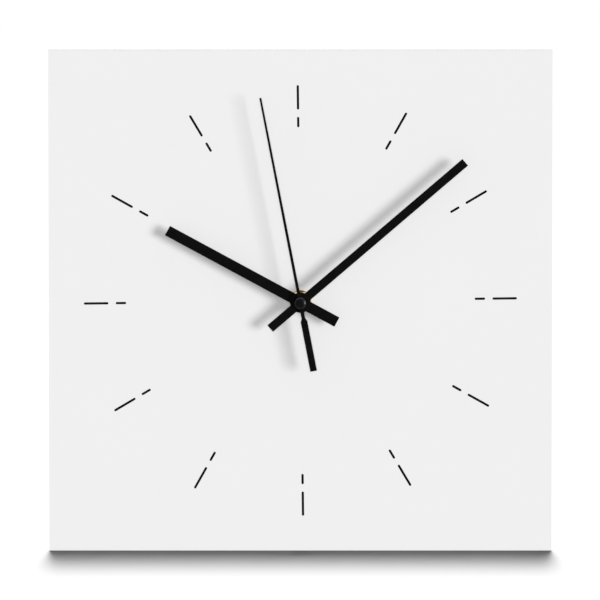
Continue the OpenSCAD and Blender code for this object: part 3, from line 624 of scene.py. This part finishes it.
def slot_outline(tree, length, middle, width):
    """Curve round one slot with round ends, lying along X."""
    # a touch under half the width, so that the short sides don't shrink to nothing
    half = add(tree, "ShaderNodeMath", {0: width, 1: 0.499}, operation="MULTIPLY")
    oblong = add(tree, "GeometryNodeCurvePrimitiveQuadrilateral", {"Width": length, "Height": width})
    rounded = add(tree, "GeometryNodeFilletCurve", {
        "Curve": oblong.outputs[0], "Count": 6, "Radius": half.outputs[0]}, mode="POLY")
    place = add(tree, "ShaderNodeCombineXYZ", {"X": middle})
    return add(tree, "GeometryNodeTransform", {
        "Geometry": rounded.outputs[0], "Translation": place.outputs[0]}).outputs[0]


def slotted_panel(tree, given):
    """A square board with a centre hole and a ring of marks, each of two slots."""
    pair = add(tree, "GeometryNodeJoinGeometry")
    for length, middle in (("Long slot", "Long middle"), ("Short slot", "Short middle")):
        tree.links.new(slot_outline(tree, given[length], given[middle], given["Slot width"]),
                       pair.inputs[0])
    spots = add(tree, "GeometryNodeMeshLine", {"Count": given["Marks"], "Offset": (0, 0, 0)})
    index = add(tree, "GeometryNodeInputIndex").outputs[0]
    step = add(tree, "ShaderNodeMath", {0: FULL_TURN, 1: given["Marks"]}, operation="DIVIDE")
    turn = add(tree, "ShaderNodeMath", {0: index, 1: step.outputs[0], 2: given["Ring turn"]},
               operation="MULTIPLY_ADD")
    turned_by = add(tree, "ShaderNodeCombineXYZ", {"Z": turn.outputs[0]})
    ring = add(tree, "GeometryNodeInstanceOnPoints", {
        "Points": spots.outputs[0], "Instance": pair.outputs[0], "Rotation": turned_by.outputs[0]})
    marks = add(tree, "GeometryNodeRealizeInstances", {"Geometry": ring.outputs[0]})
    square = add(tree, "GeometryNodeCurvePrimitiveQuadrilateral", {
        "Width": given["Side"], "Height": given["Side"]})
    hole = add(tree, "GeometryNodeCurvePrimitiveCircle", {
        "Resolution": 64, "Radius": given["Hole radius"]})
    outlines = add(tree, "GeometryNodeJoinGeometry")
    for part in (marks, square, hole):
        tree.links.new(part.outputs[0], outlines.inputs[0])
    sheet = add(tree, "GeometryNodeFillCurve", {"Curve": outlines.outputs[0]}, mode="NGONS")
    raised = add(tree, "GeometryNodeExtrudeMesh", {
        "Mesh": sheet.outputs[0], "Offset Scale": given["Thickness"], "Individual": False})
    # faces and edges within a millimetre of the outline belong to the outer edge
    at = add(tree, "ShaderNodeSeparateXYZ", {0: add(tree, "GeometryNodeInputPosition").outputs[0]})
    across = [add(tree, "ShaderNodeMath", {0: at.outputs[name]}, operation="ABSOLUTE").outputs[0]
              for name in ("X", "Y")]
    far = add(tree, "ShaderNodeMath", {0: across[0], 1: across[1]}, operation="MAXIMUM")
    reach = add(tree, "ShaderNodeMath", {0: given["Side"], 1: 0.5, 2: -1 * MM}, operation="MULTIPLY_ADD")
    outer = add(tree, "ShaderNodeMath", {0: far.outputs[0], 1: reach.outputs[0]},
                operation="GREATER_THAN").outputs[0]
    inner = add(tree, "ShaderNodeMath", {0: 1.0, 1: outer}, operation="SUBTRACT").outputs[0]
    wall = add(tree, "FunctionNodeBooleanMath", {0: raised.outputs["Side"], 1: inner}, operation="AND")
    lacquered = add(tree, "GeometryNodeSetMaterial", {
        "Geometry": raised.outputs["Mesh"], "Material": given["Face finish"]})
    walled = add(tree, "GeometryNodeSetMaterial", {
        "Geometry": lacquered.outputs[0], "Selection": wall.outputs[0],
        "Material": given["Wall finish"]})
    underside = add(tree, "GeometryNodeFlipFaces", {"Mesh": sheet.outputs[0]})
    bare = add(tree, "GeometryNodeSetMaterial", {
        "Geometry": underside.outputs[0], "Material": given["Face finish"]})
    both = add(tree, "GeometryNodeJoinGeometry")
    for part in (walled, bare):
        tree.links.new(part.outputs[0], both.inputs[0])
    closed = add(tree, "GeometryNodeMergeByDistance", {
        "Geometry": both.outputs[0], "Distance": WELD})
    # how much each edge is rounded: all outer edges, and the front rims of slots and hole
    fold = add(tree, "GeometryNodeInputMeshEdgeAngle")
    sharp = add(tree, "ShaderNodeMath", {
        0: fold.outputs["Unsigned Angle"], 1: math.radians(60)}, operation="GREATER_THAN")
    front_at = add(tree, "ShaderNodeMath", {0: given["Thickness"], 1: 0.9}, operation="MULTIPLY")
    front = add(tree, "ShaderNodeMath", {0: at.outputs["Z"], 1: front_at.outputs[0]},
                operation="GREATER_THAN")
    rim = add(tree, "ShaderNodeMath", {0: front.outputs[0], 1: given["Slot break"]},
              operation="MULTIPLY")
    most = add(tree, "ShaderNodeMath", {0: rim.outputs[0], 1: outer}, operation="MAXIMUM")
    weight = add(tree, "ShaderNodeMath", {0: most.outputs[0], 1: sharp.outputs[0]},
                 operation="MULTIPLY")
    weighted = add(tree, "GeometryNodeStoreNamedAttribute", {
        "Geometry": closed.outputs[0], "Name": "bevel_weight_edge", "Value": weight.outputs[0]},
        data_type="FLOAT", domain="EDGE")
    stood = add(tree, "GeometryNodeTransform", {
        "Geometry": weighted.outputs[0], "Rotation": (math.pi / 2, 0, 0),
        "Translation": (0, PANEL_HIGH.y, 0)})
    return add(tree, "GeometryNodeRealizeInstances", {"Geometry": stood.outputs[0]}).outputs[0]


def wound_wire(tree, given):
    """Loops of wire side by side along X, round a flat former."""
    former = add(tree, "GeometryNodeCurvePrimitiveQuadrilateral", {
        "Width": given["Loop width"], "Height": given["Loop height"]})
    rounded = add(tree, "GeometryNodeFilletCurve", {
        "Curve": former.outputs[0], "Count": 5, "Radius": given["Corner"]}, mode="POLY")
    section = add(tree, "GeometryNodeCurvePrimitiveCircle", {
        "Resolution": 6, "Radius": given["Wire radius"]})
    loop = add(tree, "GeometryNodeCurveToMesh", {
        "Curve": rounded.outputs[0], "Profile Curve": section.outputs[0]})
    stood = add(tree, "GeometryNodeTransform", {
        "Geometry": loop.outputs[0], "Rotation": (math.pi / 2, 0, math.pi / 2)})
    gap = add(tree, "ShaderNodeCombineXYZ", {"X": given["Pitch"]})
    spots = add(tree, "GeometryNodeMeshLine", {
        "Count": given["Turns"], "Start Location": given["Start"], "Offset": gap.outputs[0]})
    laid = add(tree, "GeometryNodeInstanceOnPoints", {
        "Points": spots.outputs[0], "Instance": stood.outputs[0]})
    whole = add(tree, "GeometryNodeRealizeInstances", {"Geometry": laid.outputs[0]})
    return add(tree, "GeometryNodeSetMaterial", {
        "Geometry": whole.outputs[0], "Material": given["Finish"]}).outputs[0]


# ---- operators ----

class CLOCK_OT_panel(bpy.types.Operator):
    """Makes the white front panel with its ring of slots"""
    bl_idname = "clock.panel"
    bl_label = "Front panel"

    def execute(self, context):
        size = context.scene.clock_panel
        made = node_object("dial_panel", {
            "Side": ("NodeSocketFloat", PANEL_HIGH.x - PANEL_LOW.x),
            "Thickness": ("NodeSocketFloat", PANEL_HIGH.y - PANEL_LOW.y),
            "Hole radius": ("NodeSocketFloat", size.hole_radius),
            "Marks": ("NodeSocketInt", size.marks),
            "Long slot": ("NodeSocketFloat", size.long_slot),
            "Long middle": ("NodeSocketFloat", size.ring_radius - size.long_slot / 2),
            "Short slot": ("NodeSocketFloat", size.short_slot),
            "Short middle": ("NodeSocketFloat", size.ring_radius - size.long_slot
                             - size.slot_gap - size.short_slot / 2),
            "Slot width": ("NodeSocketFloat", size.slot_width),
            "Slot break": ("NodeSocketFloat", size.slot_break),
            "Ring turn": ("NodeSocketFloat", size.ring_turn),
            "Face finish": ("NodeSocketMaterial", finish(white_lacquer)),
            "Wall finish": ("NodeSocketMaterial", finish(scorched_board)),
        }, slotted_panel)
        edge = made.modifiers.new("Edge break", "BEVEL")
        edge.width = size.edge_break
        edge.segments = 3
        edge.limit_method = "WEIGHT"
        mesh = shaded(settled(made), sharp_degrees=50)
        piece("panel_board", mesh, "case", ["front_panel"])
        return {"FINISHED"}


class CLOCK_OT_backing(bpy.types.Operator):
    """Makes the black backing board"""
    bl_idname = "clock.backing"
    bl_label = "Backing board"

    def execute(self, context):
        piece("backing_board", softened("backing_panel", width_mm=0.25), "case",
              ["backing_panel"], [black_hardboard])
        return {"FINISHED"}


class CLOCK_OT_fixing(bpy.types.Operator):
    """Makes the washers and the nut that clamp the panel on the sleeve"""
    bl_idname = "clock.fixing"
    bl_label = "Washers and nut"

    def execute(self, context):
        for node, width_mm, slot, maker in (
                ("rubber_washer", 0.12, "rubber_grey", grey_rubber),
                ("brass_washer", 0.14, "brass", turned_brass),
                ("hex_nut", 0.1, "brass", turned_brass)):
            piece(node + "_turned", softened(node, width_mm), "case", [node], [maker])
        return {"FINISHED"}


class CLOCK_OT_hands(bpy.types.Operator):
    """Makes the three hands, their bushes and the cap"""
    bl_idname = "clock.hands"
    bl_label = "Hands"

    def execute(self, context):
        for node, body, width_mm in (("hour_hand", "hour", 0.06), ("minute_hand", "minute", 0.06),
                                     ("second_hand", "second", 0.03)):
            piece(node + "_blade", softened(node, width_mm), body, [node], [satin_black])
        for node, body in (("hour_hand_bush", "hour"), ("minute_hand_bush", "minute")):
            piece(node + "_turned", softened(node, width_mm=0.08), body, [node],
                  [satin_black])
        low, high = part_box("second_hand_cap")
        r, height = (high.x - low.x) / 2, high.y - low.y
        rim, break_edge, steps = 0.28 * height, 0.08 * MM, 16
        angles = [math.pi / 2 * i / steps for i in range(steps)]
        # a power under 1 makes the dome fuller than an ellipse
        profile = [(r * math.sin(t), -rim - (height - rim) * math.cos(t) ** 0.8) for t in angles]
        profile += [(r, -rim), (r, -break_edge), (r - break_edge, 0.0), (0.0, 0.0)]
        centre = Vector(((low.x + high.x) / 2, high.y, (low.z + high.z) / 2))
        piece("cap_dome", turned(profile, centre, "Y"), "second",
              ["second_hand_cap"], [polished_black])
        return {"FINISHED"}


class CLOCK_OT_case(bpy.types.Operator):
    """Makes the movement's case, its rear cover and the hanger"""
    bl_idname = "clock.case"
    bl_label = "Case and hanger"

    def execute(self, context):
        piece("case_shell", softened("front_case", width_mm=0.2), "case",
              ["front_case"], [moulded_black])
        piece("hanger_clip", softened("hanger", width_mm=0.25), "case",
              ["hanger"], [moulded_black])
        # places and sizes on the lid, in millimetres from the spindle
        knob_x = (KNOB_LOW.x + KNOB_HIGH.x) / 2 / MM
        knob_z = (KNOB_LOW.z + KNOB_HIGH.z) / 2 / MM
        arrows = [bent_arrow(knob_x, knob_z, r=8.2, width=0.9, start=turn, end=turn - 90)
                  for turn in (150, -30)]
        poles = [plus_outline(-24.4, -7.9, arm=1.5, half=0.4), rectangle(24.6, -7.9, w=2.8, h=0.8)]
        ejectors = [round_outline(x, z, r=1.5) for x, z in ((-24, 24), (24, 24), (-24, 2), (2, 24))]
        recess = [rectangle(-10.5, 14.5, w=17, h=11)]
        above = COVER_BACK + 1 * MM
        cover = softened("rear_cover", width_mm=0.2)
        cover = engraved(cover, prism(arrows + poles, COVER_BACK - 0.3 * MM, above))
        cover = engraved(cover, prism(ejectors + recess, COVER_BACK - 0.15 * MM, above))
        piece("rear_lid", shaded(cover), "case", ["rear_cover"], [moulded_black])
        return {"FINISHED"}


class CLOCK_OT_knob(bpy.types.Operator):
    """Makes the setting knob"""
    bl_idname = "clock.knob"
    bl_label = "Setting knob"

    def execute(self, context):
        piece("knob_wheel", softened("setting_knob", width_mm=0.12), "setting",
              ["setting_knob"], [red_knob])
        return {"FINISHED"}


class CLOCK_OT_battery(bpy.types.Operator):
    """Makes the battery's can and its film sleeve"""
    bl_idname = "clock.battery"
    bl_label = "Battery"

    def execute(self, context):
        low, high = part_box("battery_can")
        centre = Vector((low.x, (low.y + high.y) / 2, (low.z + high.z) / 2))
        r, length = (high.z - low.z) / 2, high.x - low.x
        button, shoulder, corner = 2.75 * MM, 1.2 * MM, 0.6 * MM
        button_edge, groove, dish = 0.3 * MM, 0.35 * MM, 0.25 * MM
        # the button, then a groove round it in the crimped end
        profile = [
            (0.0, 0.0), (button - button_edge, 0.0), (button, button_edge),
            (button + 0.15 * MM, shoulder), (button + 0.8 * MM, shoulder),
            (button + 1.1 * MM, shoulder + groove), (r - 1.6 * MM, shoulder + groove),
            (r - 1.2 * MM, shoulder)]
        # the body between its two rounded corners, then the dished end
        quarter = [math.pi / 2 * i / 6 for i in range(7)]
        inner = r - corner
        profile += [(inner + corner * math.sin(t), shoulder + corner * (1 - math.cos(t))) for t in quarter]
        profile += [(inner + corner * math.cos(t), length - corner * (1 - math.sin(t))) for t in quarter]
        profile += [(r - 2.2 * MM, length), (r - 2.6 * MM, length - dish), (0.0, length - dish)]
        piece("cell_can", turned(profile, centre, "X"), "battery",
              ["battery_can"], [plated_steel])
        low, high = SLEEVE_LOW, SLEEVE_HIGH
        centre = Vector((low.x, (low.y + high.y) / 2, (low.z + high.z) / 2))
        outside, inside, length = (high.z - low.z) / 2, r + 0.01 * MM, high.x - low.x
        roll = 0.15 * MM
        profile = [(inside, roll), (outside - roll, 0.0), (outside, roll), (outside, length - roll),
                   (outside - roll, length), (inside, length - roll)]
        piece("cell_film", turned(profile, centre, "X"), "battery",
              ["battery_sleeve"], [shrink_film])
        return {"FINISHED"}


class CLOCK_OT_coil(bpy.types.Operator):
    """Winds the motor's coil"""
    bl_idname = "clock.coil"
    bl_label = "Coil"

    def execute(self, context):
        low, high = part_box("coil_winding")
        # drawn several times thicker than the real wire, so that the turns show
        wire = 0.14 * MM
        pitch = 2 * wire
        turns = int((high.x - low.x) / pitch) - 1
        middle = (low + high) / 2
        start = Vector((middle.x - pitch * (turns - 1) / 2, middle.y, middle.z))
        made = node_object("coil_turns", {
            "Loop width": ("NodeSocketFloat", high.z - low.z - 2 * wire),
            "Loop height": ("NodeSocketFloat", high.y - low.y - 2 * wire),
            "Corner": ("NodeSocketFloat", 0.8 * MM),
            "Wire radius": ("NodeSocketFloat", wire),
            "Pitch": ("NodeSocketFloat", pitch),
            "Turns": ("NodeSocketInt", turns),
            "Start": ("NodeSocketVector", start),
            "Finish": ("NodeSocketMaterial", finish(enamelled_copper)),
        }, wound_wire)
        piece("coil_wire", shaded(settled(made), sharp_degrees=80), "case")
        return {"FINISHED"}


class CLOCK_OT_works(bpy.types.Operator):
    """Gives the CAD parts inside the movement their finishes"""
    bl_idname = "clock.works"
    bl_label = "Works"

    def execute(self, context):
        for maker, nodes in (
                (silicon_steel, ("coil_core", "stator")),
                (plated_steel, ("positive_contact", "negative_contact", "quartz_crystal",
                                "second_hand_tube")),
                (green_mask, ("circuit_board",)),
                (black_epoxy, ("circuit_chip",)),
                (ivory_nylon, ("coil_bobbin", "train_plate")),
                (enamelled_copper, ("coil_winding",)),
                (sintered_ferrite, ("rotor_magnet",)),
                (rolled_brass, ("clutch_spring",)),
                (turned_brass, ("minute_tube",)),
                (white_acetal, ("setting_pinion", "rotor_pinion", "intermediate_wheel", "second_wheel",
                                "third_wheel", "centre_wheel", "minute_wheel", "hour_wheel"))):
            for node in nodes:
                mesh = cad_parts[node].data
                mesh.materials.clear()
                mesh.materials.append(finish(maker))
        return {"FINISHED"}


# ---- stage ----

def studio(context):
    """White background, an even room, and for gloss a dark front under a bright ceiling."""
    world = bpy.data.worlds.new("studio")
    context.scene.world = world
    world.use_nodes = True
    world.cycles.sampling_method = "NONE"
    tree = world.node_tree
    tree.nodes.clear()
    view = add(tree, "ShaderNodeSeparateXYZ", {
        0: add(tree, "ShaderNodeTexCoord").outputs["Generated"]})
    # the ceiling begins 30 degrees above level; the front is darkest straight ahead, and as
    # bright as the walls from 70 degrees away
    ceiling = add(tree, "ShaderNodeMapRange", {
        "Value": view.outputs["Z"], "From Min": 0.5, "From Max": 0.8, "To Min": 0.0, "To Max": 1.6},
        interpolation_type="SMOOTHSTEP")
    front = add(tree, "ShaderNodeMapRange", {
        "Value": view.outputs["Y"], "From Min": -0.9, "From Max": -0.35, "To Min": 0.05, "To Max": 0.6},
        interpolation_type="SMOOTHSTEP")
    gloss = add(tree, "ShaderNodeMath", {0: ceiling.outputs[0], 1: front.outputs[0]}, operation="ADD")
    rays = add(tree, "ShaderNodeLightPath")
    lit = add(tree, "ShaderNodeMix", {
        "Factor": rays.outputs["Is Glossy Ray"], "A": context.scene.clock_stage.fill,
        "B": gloss.outputs[0]})
    seen = add(tree, "ShaderNodeMix", {
        "Factor": rays.outputs["Is Camera Ray"], "A": lit.outputs[0], "B": 1.0})
    shade = add(tree, "ShaderNodeBackground", {"Color": opaque("ffffff"), "Strength": seen.outputs[0]})
    add(tree, "ShaderNodeOutputWorld", {"Surface": shade.outputs[0]})


def paper_floor():
    """A sheet of light grey paper under the clock, which its own lights bring to white."""
    half = 4.0
    work = bmesh.new()
    work.faces.new([work.verts.new((x * half, y * half, PANEL_LOW.z))
                    for x, y in ((-1, -1), (1, -1), (1, 1), (-1, 1))])
    mesh = bpy.data.meshes.new("floor")
    work.to_mesh(mesh)
    work.free()
    floor = put("floor", mesh)
    paper, tree, where = fresh("studio_paper", {"Roughness": 0.9, "Specular IOR Level": 0.0})
    grey = linear("7c7c7c")
    mesh.materials.append(wear(paper, mottle(tree, where, scaled(grey, 0.995), grey, patch_mm=400)))
    floor.visible_diffuse = floor.visible_glossy = floor.visible_shadow = False
    return floor


def sun(name, strength, spread, direction, receivers):
    """A sun that shines along a direction, seen under an angle, on a collection of receivers."""
    light = bpy.data.lights.new(name, "SUN")
    light.energy = strength
    light.angle = spread
    made = put(name, light)
    made.rotation_euler = Vector(direction).to_track_quat("-Z", "Y").to_euler()
    made.light_linking.receiver_collection = receivers
    return made


def place_lights(size, floor):
    """Three suns for the clock, and a fan of them for the shadow on the floor."""
    # the floor's own lights reach nothing else, and the others don't reach the floor
    on_floor = bpy.data.collections.new("on_floor")
    on_floor.objects.link(floor)
    off_floor = bpy.data.collections.new("off_floor")
    off_floor.objects.link(floor)
    off_floor.collection_objects[0].light_linking.link_state = "EXCLUDE"
    side, rise = size.key_angle, size.elevation
    sun("key", size.key, size.key_spread, (-math.sin(side), math.cos(side), 0), off_floor)
    front = sun("front", size.front, math.radians(10), (0, math.cos(rise), -math.sin(rise)), off_floor)
    front.visible_glossy = False
    # the light from behind comes from the left and above
    sun("back", size.back, math.radians(20), (0.55, -0.75, -0.6), off_floor)
    # the fan leans from near upright towards the front, and is brightest in its middle
    for i in range(size.fan_lights):
        middle = i + 0.5
        lean = size.fan_step * middle
        share = 0.35 + math.sin(math.pi * middle / size.fan_lights)
        sun(f"floor_light_{i}", size.fan * share, math.radians(4),
            (0, -math.sin(lean), -math.cos(lean)), on_floor)


def place_camera(scene, size):
    """The camera, a little above the spindle's axis, aimed at the middle of the panel's face."""
    camera = bpy.data.cameras.new("camera")
    camera.lens = size.lens
    camera.sensor_width = 36
    camera.shift_x, camera.shift_y = size.shift
    camera.clip_end = 60
    scene.camera = put("camera", camera)
    away = Vector((0, -math.cos(size.elevation), math.sin(size.elevation)))
    scene.camera.location = Vector((0, PANEL_LOW.y, 0)) + away * size.distance
    scene.camera.rotation_euler = (-away).to_track_quat("-Z", "Y").to_euler()


class CLOCK_OT_stage(bpy.types.Operator):
    """Makes the floor, the lights and the camera"""
    bl_idname = "clock.stage"
    bl_label = "Stage"

    def execute(self, context):
        scene, size = context.scene, context.scene.clock_stage
        scene.view_settings.view_transform = "Standard"
        studio(context)
        place_lights(size, paper_floor())
        place_camera(scene, size)
        return {"FINISHED"}


class CLOCK_PT_sidebar(bpy.types.Panel):
    """Lists the clock's operators and their sizes and colours"""
    bl_idname = "CLOCK_PT_sidebar"
    bl_label = "Square wall clock"
    bl_space_type = "VIEW_3D"
    bl_region_type = "UI"
    bl_category = "Clock"

    def draw(self, context):
        for group in (context.scene.clock_panel, context.scene.clock_colours, context.scene.clock_stage):
            for name in group.__annotations__:
                self.layout.prop(group, name)
        for operator in OPERATORS:
            self.layout.operator(operator.bl_idname)


GROUPS = (PanelSizes, FinishColours, StageSizes)
OPERATORS = (CLOCK_OT_panel, CLOCK_OT_backing, CLOCK_OT_fixing, CLOCK_OT_hands, CLOCK_OT_case,
             CLOCK_OT_knob, CLOCK_OT_battery, CLOCK_OT_coil, CLOCK_OT_works, CLOCK_OT_stage)


def register():
    """Adds the classes and the user's settings to Blender."""
    for part in (*GROUPS, *OPERATORS, CLOCK_PT_sidebar):
        bpy.utils.register_class(part)
    bpy.types.Scene.clock_panel = PointerProperty(type=PanelSizes)
    bpy.types.Scene.clock_colours = PointerProperty(type=FinishColours)
    bpy.types.Scene.clock_stage = PointerProperty(type=StageSizes)


def unregister():
    """Takes them out again."""
    for name in ("clock_panel", "clock_colours", "clock_stage"):
        delattr(bpy.types.Scene, name)
    for part in reversed((*GROUPS, *OPERATORS, CLOCK_PT_sidebar)):
        bpy.utils.unregister_class(part)


def main():
    """Makes the whole clock and its stage."""
    register()
    for operator in OPERATORS:
        getattr(bpy.ops.clock, operator.bl_idname.removeprefix("clock."))()


if __name__ == "__main__":
    main()
